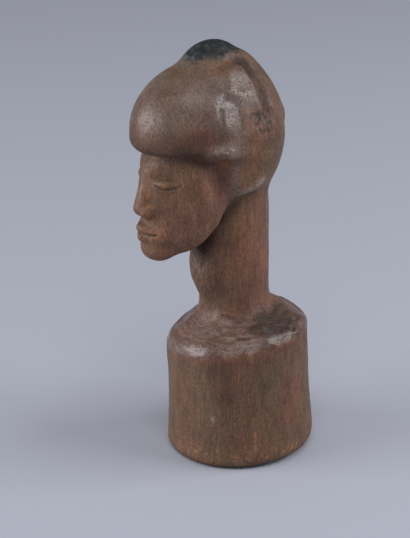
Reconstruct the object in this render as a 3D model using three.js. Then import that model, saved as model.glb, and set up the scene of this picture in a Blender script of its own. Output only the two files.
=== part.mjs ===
import * as THREE from 'three';

// A small bust carved from one block of hardwood: a drum-shaped base with a faceted shoulder, a
// round neck, and a head under a smooth cap of hair with a crest knob on top. Millimetres, +Z up,
// the face looks along -Y, and the origin is the middle of the underside.
//
// The wood is described as a distance field, negative inside, which grows sub-part by sub-part.
// A sphere is then stretched over it, ring by ring, with rays that start inside the wood.

// Driving dimensions of the base and the neck
const BASE_RADIUS = 20.25;
const FOOT_FLARE = 1.1;
const FLARE_HEIGHT = 23;
const RIM_Z = 35.5;
const SHOULDER_RISE = 11;
const SHOULDER_SPAN = 20.6;
const SHOULDER_FULLNESS = 2.9;
const NECK_RADIUS = 9.95;
const NECK_AXIS_Y = -2.6;
const NECK_FOOT_Z = 45;
const NECK_LEAN = 0.4;

// Driving dimensions of the head
const HEAD_HALF_WIDTH = 15.9;
const HEAD_MID_Z = 98;
const CREST_TOP_Z = 121.1;
const HAIRLINE_Z = 94;
const NAPE_Z = 79.7;
const NAPE_RISE = 0.36;
const CROWN_Z = 109.7;
const CHIN_Z = 61.5;
const FACE_HALF_WIDTH = 12.6;
const FACE_FRONT_Y = -30.4;

// The face is laid out by the usual rules: the eyes halfway up the head, the nose ending halfway
// from brow to chin, and the mouth a third of the way from there to the chin
const EYE_Z = (CHIN_Z + CROWN_Z) / 2;
const BROW_Z = EYE_Z + 0.15 * (EYE_Z - CHIN_Z);
const NOSE_Z = (CHIN_Z + BROW_Z) / 2;
const MOUTH_Z = NOSE_Z - (NOSE_Z - CHIN_Z) / 3;

const { clamp, lerp, smoothstep, degToRad } = THREE.MathUtils;

// Distance fields and the ways of joining them. The last number of join, meet and carve is the
// width of the rounding along the seam.
function join(a, b, width) {
  const h = clamp(0.5 + (0.5 * (b - a)) / width, 0, 1);
  return b + (a - b) * h - width * h * (1 - h);
}

function meet(a, b, width) {
  return -join(-a, -b, width);
}

function carve(solid, tool, width) {
  return meet(solid, -tool, width);
}

function ellipsoid(p, [cx, cy, cz], [rx, ry, rz]) {
  const [x, y, z] = [(p.x - cx) / rx, (p.y - cy) / ry, (p.z - cz) / rz];
  const scaled = Math.hypot(x, y, z);
  if (scaled < 0.05) return -Math.min(rx, ry, rz);
  return (scaled * (scaled - 1)) / Math.hypot(x / rx, y / ry, z / rz);
}

function plane(p, [nx, ny, nz], [ax, ay, az]) {
  return ((p.x - ax) * nx + (p.y - ay) * ny + (p.z - az) * nz) / Math.hypot(nx, ny, nz);
}

function capsule(p, a, b, startRadius, endRadius) {
  const [ux, uy, uz] = [b[0] - a[0], b[1] - a[1], b[2] - a[2]];
  const [px, py, pz] = [p.x - a[0], p.y - a[1], p.z - a[2]];
  const along = clamp((px * ux + py * uy + pz * uz) / (ux * ux + uy * uy + uz * uz), 0, 1);
  const distance = Math.hypot(px - along * ux, py - along * uy, pz - along * uz);
  return distance - lerp(startRadius, endRadius, along);
}

// The same point on the +X half, for whatever the two sides of the head share
function mirrored(p) {
  return { x: Math.abs(p.x), y: p.y, z: p.z };
}

// The drum leans a little to the front and its top is tilted, as hand work is. Seven knife facets
// slope from the neck to the rim, which is softest at SOFT_RIM, and the lower edge is worn, most of
// it on WORN_SIDE. A field that climbs faster than the distance is scaled by STEEP, so that the
// rays below don't overshoot.
const STEEP = 0.75;
const TILT_X = 0.13;
const TILT_Y = 0.09;
const SHOULDER_FACETS = 7;
const FIRST_FACET = degToRad(-32);
const FACET_SLOPE = 0.78;
const FACET_DROP = 1.4;
const FORWARD_LEAN = 1.17;
const SIDEWAYS_LEAN = 0.455;
const EDGE_WEAR = 2.35;
const WORN_SIDE = degToRad(36);
const SOFT_RIM = degToRad(-75);

function shoulder(p, x, y, r) {
  const z = p.z - TILT_X * p.x - TILT_Y * p.y;
  const rise = SHOULDER_RISE * (1 - (r / SHOULDER_SPAN) ** SHOULDER_FULLNESS);
  let top = STEEP * (z - RIM_Z - rise);
  for (let i = 0; i < SHOULDER_FACETS; i++) {
    const turn = FIRST_FACET + (i * 2 * Math.PI) / SHOULDER_FACETS;
    const outward = x * Math.cos(turn) + y * Math.sin(turn);
    const facet = STEEP * (z - NECK_FOOT_Z + FACET_DROP + FACET_SLOPE * (outward - NECK_RADIUS));
    top = meet(top, facet, 0.9);
  }
  return top;
}

function base(p) {
  const height = clamp(p.z / RIM_Z, 0, 1.1);
  const x = p.x + SIDEWAYS_LEAN * height;
  const y = p.y + FORWARD_LEAN * height;
  const r = Math.hypot(x, y);
  const side = r - BASE_RADIUS - FOOT_FLARE * clamp(1 - p.z / FLARE_HEIGHT, 0, 1) ** 1.6;
  const turn = Math.atan2(y, x);
  const soft = 1.1 + 0.6 * clamp(Math.cos(turn - SOFT_RIM), 0, 1) ** 3;
  const drum = meet(side, shoulder(p, x, y, r), soft);
  const wear = EDGE_WEAR * (1 + 1.7 * clamp(Math.cos(turn - WORN_SIDE), 0, 1));
  return meet(drum, -p.z, wear);
}

// A plain round neck that leans slightly forward, with a swelling down its front. Its ends lie
// hidden in the base and in the head.
function neck(p) {
  const middleY = NECK_AXIS_Y + 0.3 - NECK_LEAN * clamp((p.z - 40) / 35, 0, 1);
  const column = Math.hypot(p.x, p.y - middleY) - NECK_RADIUS;
  const cut = Math.max(column, p.z - NAPE_Z - 8.3, RIM_Z - 15.5 - p.z);
  const swelling = ellipsoid(p, [0, -11.6, 57.6], [5.4, 3.7, 8.4]);
  return join(cut, swelling, 4);
}

// The front of the hair is a smooth cap with a lobe over each ear. It is hollowed in front of the
// lobe and ends in a ledge over the face, with a lip under the lobe.
function hairCap(p) {
  const q = mirrored(p);
  const skull = ellipsoid(p, [0, -13.4, HEAD_MID_Z - 0.2], [HEAD_HALF_WIDTH, 19.7, 18.4]);
  const hollowed = carve(skull, ellipsoid(q, [18.2, -19, HAIRLINE_Z + 2.4], [3.8, 4.2, 8]), 3);
  const lobed = meet(join(hollowed, earLobe(q), 1.5), lobeFacet(q), 0.9);
  const ledge = HAIRLINE_Z + 0.8 * smoothstep(q.x, 4, 14);
  const lip = ellipsoid(q, [13.6, -13.8, HAIRLINE_Z + 0.9], [3.6, 5.6, 2.2]);
  return join(meet(lobed, ledge - p.z, 2), lip, 2.4);
}

// The swelling over the ear: a flat upper facet stands a little proud of the lower one
function earLobe(q) {
  const lower = capsule(q, [8.2, -7, 105], [10.7, -8.6, 98], 5.4, 5.5);
  const egg = ellipsoid(q, [6, -6.6, 107.4], [7.2, 8.2, 8.5]);
  const flat = meet(egg, plane(q, [0.787, 0.169, 0.593], [10.2, -5.2, 111.5]), 0.8);
  const upper = meet(flat, plane(q, [0.5, 0, -0.87], [12.3, -6, 108.6]), 2);
  return join(lower, upper, 1.6);
}

// The knife's flat on the lower lobe: a plane that bends away beyond the facet's edge
function lobeFacet(q) {
  const centre = [14.7, -11.6, 103.9];
  const beyond = Math.max(ellipsoid(q, centre, [6, 3, 4.8]), 0);
  return plane(q, [0.885, 0.1, 0.455], centre) - 0.4 * beyond;
}

// The back of the hair hangs to the nape, where it is cut off on a slant
function hairBack(p) {
  const q = mirrored(p);
  const mass = ellipsoid(p, [0, -1.4, HEAD_MID_Z - 2.2], [HEAD_HALF_WIDTH, 11.8, 18.9]);
  const side = ellipsoid(q, [7, -4.4, 90], [8, 9.2, 13]);
  const nape = plane(p, [0, NAPE_RISE, -1], [0, -7.8, NAPE_Z]);
  return join(mass, meet(side, nape, 2), 1.5);
}

// The crest knob, and the ridge that runs from it down the middle of the back
function crest(p) {
  const knob = ellipsoid(p, [0, -9.7, CREST_TOP_Z - 6.8], [4.9, 9.2, 7.6]);
  return join(knob, capsule(p, [0, -1.3, 112.9], [0, 7.2, 98.5], 4.8, 5.4), 3);
}

// The groove under the ridge, on each side, from the crest down to the back of the ear lobe
const GROOVE_LINE = [[4.9, -2.4, 116.6], [9.4, -0.2, 112.4], [14.8, -0.6, 105.4], [17.2, -0.8, 100]];
const GROOVE_RADIUS = 1.15;

function grooves(p) {
  const q = mirrored(p);
  const parts = [0, 1, 2].map((i) => {
    return capsule(q, GROOVE_LINE[i], GROOVE_LINE[i + 1], GROOVE_RADIUS, GROOVE_RADIUS);
  });
  return join(join(parts[0], parts[1], 0.6), parts[2], 0.6);
}

function hair(p) {
  const seam = 1.1 + 5 * smoothstep(-p.z, -107, -99);
  const skull = join(hairCap(p), hairBack(p), seam);
  return carve(join(skull, crest(p), 3.5), grooves(p), 1.6);
}

// The block of the face: an egg cut by flat planes at the sides, cheeks, front, jaw and chin, and
// hollowed between the cheek and the hair. The cheeks slope back by about 48 degrees: ACROSS and
// OUTWARD are the cosine and sine of their facing.
const ACROSS = 0.746;
const OUTWARD = 0.666;

function faceBlock(p) {
  const q = mirrored(p);
  let block = ellipsoid(p, [0, -13, 81], [FACE_HALF_WIDTH + 1, 20.2, 20.4]);
  block = meet(block, plane(q, [1, 0.06, -0.1], [FACE_HALF_WIDTH, -12, 84]), 2);
  block = meet(block, plane(q, [ACROSS, -OUTWARD, -0.12], [10.6, FACE_FRONT_Y + 8.9, 78]), 2);
  block = meet(block, plane(p, [0, -1, -0.03], [0, FACE_FRONT_Y, 76]), 2.5);
  block = meet(block, plane(p, [0, 0.12, -1], [0, FACE_FRONT_Y + 6.4, CHIN_Z + 0.5]), 3.5);
  block = meet(block, plane(p, [0, 0.78, -0.62], [0, -15.5, 70]), 2.5);
  return carve(block, capsule(q, [16.5, -16.5, 96], [14.3, -10.5, 77], 5.5, 3.4), 3);
}

// Each eye sits on the slope between front and cheek, so it is laid out along that slope: a
// shallow socket, a rounded lid, and one fine line for the closed lashes
function eyes(face, p) {
  const [dx, dy] = [Math.abs(p.x) - 6.5, p.y - FACE_FRONT_Y - 3.2];
  const e = { x: dx * OUTWARD + dy * ACROSS, y: dx * ACROSS - dy * OUTWARD, z: p.z - EYE_Z };
  const socketed = carve(face, ellipsoid(e, [-0.4, 1.7, 1.2], [5.6, 2.2, 3.2]), 1.6);
  const lidded = join(socketed, ellipsoid(e, [0, -1.5, -0.2], [3.9, 2.4, 2.3]), 0.7);
  const lash = Math.hypot(e.z + 1 - 0.05 * e.x * e.x, e.y - 0.75) - 0.42;
  return carve(lidded, meet(lash, Math.abs(e.x) - 3.3, 0.4), 0.35);
}

function nose(face, p) {
  const slim = { x: p.x / 1.15, y: p.y, z: p.z };
  const [top, tip] = [[0, FACE_FRONT_Y + 1.2, BROW_Z], [0, FACE_FRONT_Y - 0.9, NOSE_Z + 2.4]];
  const bridge = capsule(slim, top, tip, 1.35, 2.2);
  const wing = ellipsoid(mirrored(p), [2.2, FACE_FRONT_Y + 0.1, NOSE_Z + 1.5], [1.7, 2.2, 1.8]);
  const underside = plane(p, [0, -0.2, -1], [0, FACE_FRONT_Y - 1.6, NOSE_Z]);
  return join(face, meet(join(bridge, wing, 1.2), underside, 0.8), 1.5);
}

function mouth(face, p) {
  const q = mirrored(p);
  const [middleY, cornerY] = [FACE_FRONT_Y - 1, FACE_FRONT_Y + 2];
  const muzzled = join(face, ellipsoid(p, [0, FACE_FRONT_Y + 5.6, MOUTH_Z - 0.4], [7.2, 7, 5]), 3);
  const upper = capsule(q, [0.9, middleY, MOUTH_Z + 1.2], [5.2, cornerY, MOUTH_Z + 0.4], 1.15, 0.45);
  const lower = capsule(q, [0, middleY, MOUTH_Z - 1.3], [4.6, cornerY, MOUTH_Z - 0.7], 1.25, 0.45);
  const lips = join(join(muzzled, upper, 1), lower, 1);
  const line = Math.abs(p.z - MOUTH_Z - 0.012 * p.x * p.x) - 0.12;
  const short = meet(meet(line, q.x - 5.4, 0.6), p.y - cornerY - 0.3, 0.5);
  return carve(lips, meet(short, -lips - 0.85, 0.3), 0.6);
}

function face(p) {
  const chin = ellipsoid(p, [0, FACE_FRONT_Y + 4, CHIN_Z + 3.9], [5.4, 4.6, 3.5]);
  return join(mouth(nose(eyes(faceBlock(p), p), p), p), chin, 2.2);
}

function head(p) {
  return join(hair(p), face(p), 1.8);
}

function bust(p) {
  return join(join(base(p), neck(p), 2.2), head(p), 3);
}

// Where a ray from inside the wood first comes out: stepped outward, then halved to the surface
function firstExit({ origin, towards }) {
  const at = (distance) => bust(towards.clone().multiplyScalar(distance).add(origin));
  let inside = 0;
  let outside = 0;
  for (let field = at(0); field < 0; field = at(outside)) {
    inside = outside;
    outside += Math.max(0.05, -0.6 * field);
  }
  for (let halving = 0; halving < 20; halving++) {
    const middle = (inside + outside) / 2;
    if (at(middle) < 0) inside = middle;
    else outside = middle;
  }
  return towards.clone().multiplyScalar(outside).add(origin);
}

function direction(azimuth, elevation) {
  const level = Math.cos(elevation);
  return new THREE.Vector3(level * Math.cos(azimuth), level * Math.sin(azimuth), Math.sin(elevation));
}

function turned(from, to, share) {
  const angle = from.angleTo(to);
  if (angle < 1e-6) return to.clone();
  const start = from.clone().multiplyScalar(Math.sin((1 - share) * angle));
  return start.addScaledVector(to, Math.sin(share * angle)).normalize();
}

function ray(y, z, towards) {
  return { origin: new THREE.Vector3(0, y, z), towards };
}

function rings(count, rayAt) {
  return Array.from({ length: count }, (_, i) => rayAt((i + 1) / count));
}

// The rings of the base, from the middle of the underside up. Each band gives its number of rings
// and where it ends: the height on the axis that the rays start from, and their elevation.
const BASE_BANDS = [
  { rings: 3, height: 17, elevation: degToRad(-47) },
  { rings: 5, height: 17, elevation: degToRad(-30) },
  { rings: 6, height: 33, elevation: 0 },
];

function baseRays(azimuth) {
  let start = { height: BASE_BANDS[0].height, elevation: degToRad(-90) };
  const rays = [ray(0, start.height, direction(azimuth, start.elevation))];
  for (const end of BASE_BANDS) {
    for (let ring = 1; ring <= end.rings; ring++) {
      const share = ring / end.rings;
      const elevation = lerp(start.elevation, end.elevation, share);
      rays.push(ray(0, lerp(start.height, end.height, share), direction(azimuth, elevation)));
    }
    start = end;
  }
  return rays;
}

// The shoulder rings fan up to the foot of the neck, which is tilted with the shoulder
const SHOULDER_RINGS = 9;

function shoulderRays(azimuth) {
  const fanZ = BASE_BANDS.at(-1).height;
  const foot = direction(azimuth, 0).multiplyScalar(NECK_RADIUS);
  const footZ = NECK_FOOT_Z + TILT_X * foot.x + TILT_Y * foot.y;
  const steepest = Math.atan2(footZ - fanZ, NECK_RADIUS);
  return rings(SHOULDER_RINGS, (share) => {
    return ray(lerp(0, NECK_AXIS_Y, share), fanZ, direction(azimuth, steepest * share));
  });
}

// The neck rings run from just above the shoulder to the crease under the head, which is found by
// climbing the neck in small steps until the head is only CREASE_GAP away
const NECK_RINGS = 8;
const NECK_CLEARANCE = 2;
const CREASE_GAP = 2.2;

function neckRays(azimuthAt) {
  const neckRay = (azimuth, z) => ray(NECK_AXIS_Y, z, direction(azimuth, 0));
  const foot = direction(azimuthAt(0), 0).multiplyScalar(NECK_RADIUS);
  const startZ = NECK_FOOT_Z + NECK_CLEARANCE + TILT_X * foot.x + TILT_Y * foot.y;
  const top = neckRay(azimuthAt(1), startZ);
  const surface = top.towards.clone().multiplyScalar(NECK_RADIUS).add(top.origin);
  while (head(surface) > CREASE_GAP) surface.z += 0.25;
  return rings(NECK_RINGS, (share) => {
    const past = (share * NECK_RINGS - 1) / (NECK_RINGS - 1);
    return neckRay(azimuthAt(share), lerp(startZ, surface.z, past));
  });
}

// The rings of the head: a fan that opens from the crease and passes under the jaw, then rays up
// the face or the back of the hair to the hairline, then a fan over the cap of hair. At the front
// the first fan ends at the chin; towards the nape the first two share the way evenly.
const JAW_RINGS = 9;
const FACE_RINGS = 22;
const HAIR_RINGS = 16;
const CHIN_ELEVATION = degToRad(-49);
const FRONT_AXIS = { y: -14, z: 80 };
const BACK_AXIS = { y: -4, z: 84 };
const HAIR_AXIS_Y = -11;

function headRays(creasePoint, turn) {
  const azimuth = FRONT + turn - FACE_CROWDING * Math.sin(turn);
  const forward = smoothstep(Math.cos(turn), -0.2, 0.8);
  const axis = { y: lerp(BACK_AXIS.y, FRONT_AXIS.y, forward), z: lerp(BACK_AXIS.z, FRONT_AXIS.z, forward) };
  const toCrease = creasePoint.clone().sub(new THREE.Vector3(0, axis.y, axis.z)).normalize();
  const lowZ = HAIRLINE_Z - 0.6;
  const evenShare = JAW_RINGS / (JAW_RINGS + FACE_RINGS);
  const towardsHairline = direction(azimuth, 0);
  const even = turned(toCrease, towardsHairline, evenShare);
  const towardsJaw = turned(even, direction(azimuth, CHIN_ELEVATION), forward);
  const jawShare = lerp(evenShare, 0, forward);
  const onWay = (share, towards) => {
    return ray(lerp(axis.y, HAIR_AXIS_Y, share), lerp(axis.z, lowZ, share), towards);
  };
  return [
    ...rings(JAW_RINGS, (share) => onWay(jawShare * share, turned(toCrease, towardsJaw, share))),
    ...rings(FACE_RINGS, (share) => {
      return onWay(lerp(jawShare, 1, share), turned(towardsJaw, towardsHairline, share));
    }),
    ray(HAIR_AXIS_Y, HAIRLINE_Z + 0.9, towardsHairline),
    ...rings(HAIR_RINGS, (share) => {
      const height = lerp(HAIRLINE_Z + 0.9, HEAD_MID_Z, share);
      return ray(HAIR_AXIS_Y, height, direction(azimuth, (share * Math.PI) / 2));
    }),
  ];
}

// One column of points from the middle of the underside to the top of the crest. On the neck and
// the head the columns crowd towards the front, which holds the finest carving.
const COLUMNS = 64;
const FRONT = degToRad(-90);
const NECK_CROWDING = 0.5;
const FACE_CROWDING = 0.42;

function columnPoints(column) {
  const turn = (column / COLUMNS) * 2 * Math.PI - Math.PI;
  const onNeck = (share) => FRONT + turn - NECK_CROWDING * share * Math.sin(turn);
  const lower = [...baseRays(FRONT + turn), ...shoulderRays(FRONT + turn), ...neckRays(onNeck)];
  const points = lower.map(firstExit);
  return points.concat(headRays(points.at(-1), turn).map(firstExit));
}

// The mesh is evened out without leaving the wood: each point moves halfway to the middle of its
// neighbours, then is drawn back to the surface
const EVENING_PASSES = 6;
const PROBE = 0.02;

function settle(point, times) {
  for (let i = 0; i < times; i++) {
    const field = bust(point);
    const slope = ['x', 'y', 'z'].map((axis) => {
      const probe = point.clone();
      probe[axis] += PROBE;
      return (bust(probe) - field) / PROBE;
    });
    const gradient = new THREE.Vector3(...slope);
    point.addScaledVector(gradient, -field / Math.max(gradient.lengthSq(), 0.25));
  }
  return point;
}

function evened(columns) {
  const last = columns[0].length - 1;
  return columns.map((points, column) => {
    const left = columns.at(column - 1);
    const right = columns[(column + 1) % columns.length];
    return points.map((point, ring) => {
      if (ring === 0 || ring === last) return point;
      const middle = left[ring].clone().add(right[ring]).add(points[ring - 1]).add(points[ring + 1]);
      return settle(point.clone().lerp(middle.divideScalar(4), 0.5), 1);
    });
  });
}

function carvedGeometry() {
  let columns = Array.from({ length: COLUMNS }, (_, column) => columnPoints(column));
  for (let pass = 0; pass < EVENING_PASSES; pass++) columns = evened(columns);
  const last = columns[0].length - 1;
  const geometry = new THREE.SphereGeometry(1, COLUMNS, last);
  const position = geometry.attributes.position;
  for (let row = 0; row <= last; row++) {
    for (let column = 0; column <= COLUMNS; column++) {
      const inside = row > 0 && row < last;
      const point = columns[inside ? column % COLUMNS : 0][last - row];
      settle(point, 2);
      const onUnderside = Math.abs(point.z) < 0.01;
      position.setXYZ(row * (COLUMNS + 1) + column, point.x, point.y, onUnderside ? 0 : point.z);
    }
  }
  geometry.computeVertexNormals();
  return geometry;
}

// Brown hardwood with a handled, half-glossy surface
const wood = new THREE.MeshStandardMaterial({ color: 0x6b5249, roughness: 0.45, metalness: 0 });

const bustMesh = new THREE.Mesh(carvedGeometry(), wood);
bustMesh.name = 'carved_bust';

const group = new THREE.Group();
group.add(bustMesh);

export default group;
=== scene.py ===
import math

import bpy
import numpy as np
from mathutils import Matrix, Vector, noise
from mathutils.kdtree import KDTree


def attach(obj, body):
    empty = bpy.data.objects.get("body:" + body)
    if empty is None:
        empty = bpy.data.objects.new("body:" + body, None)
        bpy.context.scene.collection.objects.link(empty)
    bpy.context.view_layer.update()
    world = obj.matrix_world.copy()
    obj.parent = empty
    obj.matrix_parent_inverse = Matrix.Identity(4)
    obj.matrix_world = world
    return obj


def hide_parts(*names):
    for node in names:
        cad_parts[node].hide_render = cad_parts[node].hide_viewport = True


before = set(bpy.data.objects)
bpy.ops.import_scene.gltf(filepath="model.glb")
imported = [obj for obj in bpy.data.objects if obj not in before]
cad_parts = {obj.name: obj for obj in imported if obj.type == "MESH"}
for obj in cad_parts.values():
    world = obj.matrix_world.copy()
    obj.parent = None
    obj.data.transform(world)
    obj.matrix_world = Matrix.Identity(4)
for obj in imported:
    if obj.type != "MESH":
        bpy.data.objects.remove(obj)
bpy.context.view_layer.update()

# A small bust carved from one block of hardwood. The shape is a distance field in millimetres,
# negative inside the wood, in the frame's axes: +Z up, the face looks along -Y. A fine mesh is
# drawn over it, the knife's facets are cut into the mesh, and the finish is painted by nodes.

MM = 0.001
SEED = 11
TINY = 1e-6

# Driving dimensions, the same as the solid's
BASE_RADIUS, FOOT_FLARE, FLARE_HEIGHT, RIM_Z = 20.25, 1.1, 23, 35.5
SHOULDER_RISE, SHOULDER_SPAN = 11.0, 20.6
NECK_RADIUS, NECK_AXIS_Y, NECK_FOOT_Z = 9.95, -2.6, 45.0
HEAD_HALF_WIDTH, HEAD_MID_Z, CREST_TOP_Z = 15.9, 98.0, 121.1
HAIRLINE_Z, NAPE_Z, NAPE_RISE, CROWN_Z, CHIN_Z = 94.0, 79.7, 0.36, 109.7, 61.5
FACE_HALF_WIDTH, FACE_FRONT_Y = 12.6, -30.4
EYE_Z = (CHIN_Z + CROWN_Z) / 2
BROW_Z = EYE_Z + 0.15 * (EYE_Z - CHIN_Z)
NOSE_Z = (CHIN_Z + BROW_Z) / 2
MOUTH_Z = NOSE_Z - (NOSE_Z - CHIN_Z) / 3


# Distance fields. Each takes points as an array of rows; the last number of join, meet and carve
# is the width of the rounding along the seam.
NEAR_CENTRE = 0.05


def join(a, b, width):
    h = np.clip(0.5 + 0.5 * (b - a) / width, 0, 1)
    return b + (a - b) * h - width * h * (1 - h)


def meet(a, b, width):
    return -join(-a, -b, width)


def carve(solid, tool, width):
    return meet(solid, -tool, width)


def ellipsoid(p, centre, radii):
    radii = np.array(radii, np.float32)
    q = (p - np.array(centre, np.float32)) / radii
    scaled = np.sqrt((q * q).sum(-1))
    steepness = np.sqrt(((q / radii) ** 2).sum(-1)) + TINY
    return np.where(scaled < NEAR_CENTRE, -radii.min(), scaled * (scaled - 1) / steepness)


def plane(p, normal, at):
    normal = np.array(normal, np.float32)
    return (p - np.array(at, np.float32)) @ (normal / np.linalg.norm(normal))


def capsule(p, a, b, start_radius, end_radius):
    a, b = np.array(a, np.float32), np.array(b, np.float32)
    along = np.clip((p - a) @ (b - a) / ((b - a) @ (b - a)), 0, 1)
    distance = np.linalg.norm(p - a - along[:, None] * (b - a), axis=-1)
    return distance - start_radius - (end_radius - start_radius) * along


def mirrored(p):
    return np.stack([np.abs(p[:, 0]), p[:, 1], p[:, 2]], -1)


def smoothstep(value, low, high):
    t = np.clip((value - low) / (high - low), 0, 1)
    return t * t * (3 - 2 * t)


# The base: a leaning drum with a tilted top of seven knife facets and a worn lower edge
STEEP, SHOULDER_FULLNESS = 0.75, 2.9
TILT_X, TILT_Y = 0.13, 0.09
SHOULDER_FACETS, FIRST_FACET, FACET_SLOPE, FACET_DROP = 7, math.radians(-32), 0.78, 1.4
LEAN, FORWARD_SHARE, SIDEWAYS_SHARE = 1.3, 0.9, 0.35
EDGE_WEAR, EXTRA_WEAR, WORN_SIDE = 2.35, 1.7, math.radians(36)
RIM_ROUNDING, EXTRA_ROUNDING, SOFT_RIM = 1.1, 0.6, math.radians(-75)


def shoulder(p, x, y, r):
    z = p[:, 2] - TILT_X * p[:, 0] - TILT_Y * p[:, 1]
    top = STEEP * (z - RIM_Z - SHOULDER_RISE * (1 - (r / SHOULDER_SPAN) ** SHOULDER_FULLNESS))
    for i in range(SHOULDER_FACETS):
        turn = FIRST_FACET + i * 2 * math.pi / SHOULDER_FACETS
        outward = x * math.cos(turn) + y * math.sin(turn)
        facet = STEEP * (z - NECK_FOOT_Z + FACET_DROP + FACET_SLOPE * (outward - NECK_RADIUS))
        top = meet(top, facet, 0.9)
    return top


def base(p):
    lean = LEAN * np.clip(p[:, 2] / RIM_Z, 0, 1.1)
    x, y = p[:, 0] + SIDEWAYS_SHARE * lean, p[:, 1] + FORWARD_SHARE * lean
    r = np.hypot(x, y)
    side = r - BASE_RADIUS - FOOT_FLARE * np.clip(1 - p[:, 2] / FLARE_HEIGHT, 0, 1) ** 1.6
    turn = np.arctan2(y, x)
    soft = RIM_ROUNDING + EXTRA_ROUNDING * np.clip(np.cos(turn - SOFT_RIM), 0, 1) ** 3
    drum = meet(side, shoulder(p, x, y, r), soft)
    wear = EDGE_WEAR * (1 + EXTRA_WEAR * np.clip(np.cos(turn - WORN_SIDE), 0, 1))
    return meet(drum, -p[:, 2], wear)


# The neck's ends are buried in the base and the head; it leans forward from LEAN_FROM_Z up
NECK_BOTTOM_Z, NECK_TOP_Z = 20, 88
NECK_FOOT_Y, NECK_LEAN, LEAN_FROM_Z, LEAN_HEIGHT = NECK_AXIS_Y + 0.3, 0.4, 40, 35


def neck(p):
    middle_y = NECK_FOOT_Y - NECK_LEAN * np.clip((p[:, 2] - LEAN_FROM_Z) / LEAN_HEIGHT, 0, 1)
    column = np.hypot(p[:, 0], p[:, 1] - middle_y) - NECK_RADIUS
    column = np.maximum(np.maximum(column, p[:, 2] - NECK_TOP_Z), NECK_BOTTOM_Z - p[:, 2])
    return join(column, ellipsoid(p, (0, -11.6, 57.6), (5.4, 3.7, 8.4)), 4)


# The hair: a smooth cap with a lobe over each ear, the mass that hangs to the nape, and a ridge that
# runs from the crest knob down the middle of the back
def hair_cap(p):
    q = mirrored(p)
    cap = ellipsoid(p, (0, -13.4, HEAD_MID_Z - 0.2), (HEAD_HALF_WIDTH, 19.7, 18.4))
    hollow = ellipsoid(q, (18.2, -19.0, HAIRLINE_Z + 2.4), (3.8, 4.2, 8))
    cap = carve(cap, hollow, 3)
    cap = meet(join(cap, ear_lobe(q), 1.5), lobe_facet(q), 0.9)
    ledge = HAIRLINE_Z + 0.8 * smoothstep(q[:, 0], 4, 14)
    cap = meet(cap, ledge - p[:, 2], 2)
    return join(cap, ellipsoid(q, (13.6, -13.8, HAIRLINE_Z + 0.9), (3.6, 5.6, 2.2)), 2.4)


def lobe_facet(q):
    """The knife's flat on the lower lobe: a plane that bends away beyond the facet's edge."""
    centre = (14.7, -11.6, 103.9)
    beyond = np.clip(ellipsoid(q, centre, (6, 3.0, 4.8)), 0, None)
    return plane(q, (0.885, 0.1, 0.455), centre) - 0.4 * beyond


def ear_lobe(q):
    """The swelling over the ear: a flat upper facet that stands a little proud of the lower one."""
    lower = capsule(q, (8.2, -7, 105), (10.7, -8.6, 98), 5.4, 5.5)
    upper = ellipsoid(q, (6.0, -6.6, 107.4), (7.2, 8.2, 8.5))
    upper = meet(upper, plane(q, (0.787, 0.169, 0.593), (10.2, -5.2, 111.5)), 0.8)
    upper = meet(upper, plane(q, (0.5, 0, -0.87), (12.3, -6, 108.6)), 2)
    return join(lower, upper, 1.6)


def hair_back(p):
    q = mirrored(p)
    mass = ellipsoid(p, (0, -1.4, HEAD_MID_Z - 2.2), (HEAD_HALF_WIDTH, 11.8, 18.9))
    side = ellipsoid(q, (7.0, -4.4, 90), (8.0, 9.2, 13))
    nape = plane(p, (0, NAPE_RISE, -1), (0, -7.8, NAPE_Z))
    return join(mass, meet(side, nape, 2), 1.5)


def crest(p):
    knob = ellipsoid(p, (0, -9.7, CREST_TOP_Z - 6.8), (4.9, 9.2, 7.6))
    return join(knob, capsule(p, (0, -1.3, 112.9), (0, 7.2, 98.5), 4.8, 5.4), 3)


# The groove under the ridge, on each side, from the crest down to the back of the ear lobe
GROOVE_LINE = ((4.9, -2.4, 116.6), (9.4, -0.2, 112.4), (14.8, -0.6, 105.4), (17.2, -0.8, 100))
GROOVE_RADIUS = 1.15


def grooves(p):
    q = mirrored(p)
    parts = [capsule(q, a, b, GROOVE_RADIUS, GROOVE_RADIUS) for a, b in zip(GROOVE_LINE, GROOVE_LINE[1:])]
    return join(join(parts[0], parts[1], 0.6), parts[2], 0.6)


def hair(p):
    seam = 1.1 + 5 * smoothstep(-p[:, 2], -107, -99)
    skull = join(hair_cap(p), hair_back(p), seam)
    return carve(join(skull, crest(p), 3.5), grooves(p), 1.6)


# The face, laid out by the usual rules: eyes halfway up the head, nose halfway from brow to chin
ACROSS, OUTWARD = 0.746, 0.666
EYE_X, EYE_DEPTH = 6.5, 3.2


def face_block(p):
    q = mirrored(p)
    block = ellipsoid(p, (0, -13, 81), (FACE_HALF_WIDTH + 1, 20.2, 20.4))
    block = meet(block, plane(q, (1, 0.06, -0.1), (FACE_HALF_WIDTH, -12, 84)), 2)
    block = meet(block, plane(q, (ACROSS, -OUTWARD, -0.12), (10.6, FACE_FRONT_Y + 8.9, 78)), 2)
    block = meet(block, plane(p, (0, -1, -0.03), (0, FACE_FRONT_Y, 76)), 2.5)
    block = meet(block, plane(p, (0, 0.12, -1), (0, FACE_FRONT_Y + 6.4, CHIN_Z + 0.5)), 3.5)
    block = meet(block, plane(p, (0, 0.78, -0.62), (0, -15.5, 70)), 2.5)
    return carve(block, capsule(q, (16.5, -16.5, 96), (14.3, -10.5, 77), 5.5, 3.4), 3)


def eye_place(p):
    """Places round the nearer eye: along the lid, out of the face, and up."""
    dx, dy = np.abs(p[:, 0]) - EYE_X, p[:, 1] - FACE_FRONT_Y - EYE_DEPTH
    return dx * OUTWARD + dy * ACROSS, dx * ACROSS - dy * OUTWARD, p[:, 2] - EYE_Z


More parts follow.
